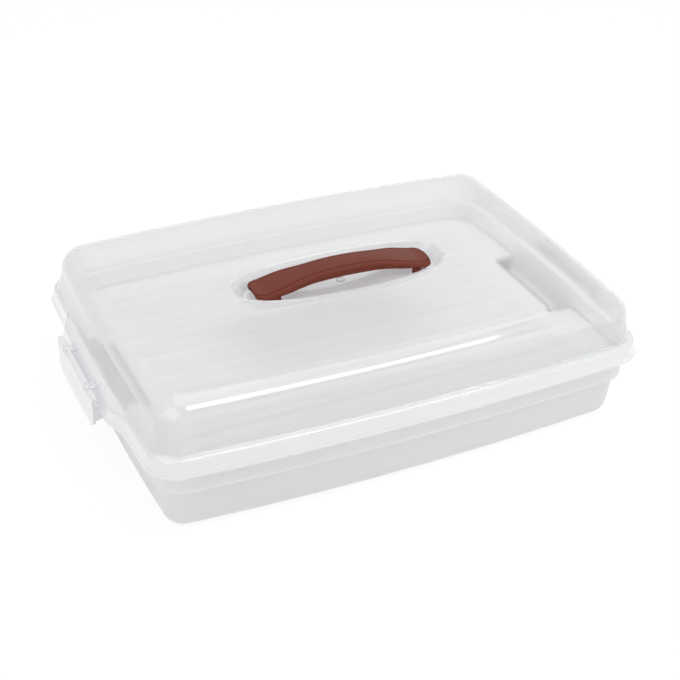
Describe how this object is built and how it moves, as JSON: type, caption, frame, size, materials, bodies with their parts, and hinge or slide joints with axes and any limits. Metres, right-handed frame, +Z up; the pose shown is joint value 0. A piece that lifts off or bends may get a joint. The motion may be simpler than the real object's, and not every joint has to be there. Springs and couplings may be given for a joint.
{
  "type": "cake carrier with hinged lid",
  "caption": "Rectangular cake carrier: a deep base with a lift-out ribbed platform, and a clear lid with an arched handle and a hinged latch at each short end.",
  "frame": {"origin": "middle of the underside of the closed carrier", "axes": "+X along the long side, +Y from the front long side to the back one, +Z up"},
  "size_m": [0.4834, 0.3218, 0.1305],
  "materials": {
    "base": "milky white, satin",
    "platform": "white, satin",
    "lid": "clear, slightly milky, glossy",
    "handle": "reddish brown, satin",
    "latch": "clear, slightly milky, glossy"
  },
  "bodies": {
    "base": {"base": "base"},
    "platform": {"platform": "platform"},
    "lid": {"lid": "lid", "handle": "handle"},
    "latch_left": {"latch_left": "latch"},
    "latch_right": {"latch_right": "latch"}
  },
  "joints": [
    {"name": "platform_lift", "type": "slide", "parent": "base", "child": "platform", "axis": [0, 0, 1], "range_m": [0, 0.042]},
    {"name": "lid_lift", "type": "slide", "parent": "base", "child": "lid", "axis": [0, 0, 1], "range_m": [0, 0.12]},
    {"name": "latch_left_hinge", "type": "hinge", "parent": "lid", "child": "latch_left", "pos_m": [-0.239, 0, 0.0786], "axis": [0, 1, 0], "range_deg": [0, 110]},
    {"name": "latch_right_hinge", "type": "hinge", "parent": "lid", "child": "latch_right", "pos_m": [0.239, 0, 0.0786], "axis": [0, -1, 0], "range_deg": [0, 110]}
  ]
}
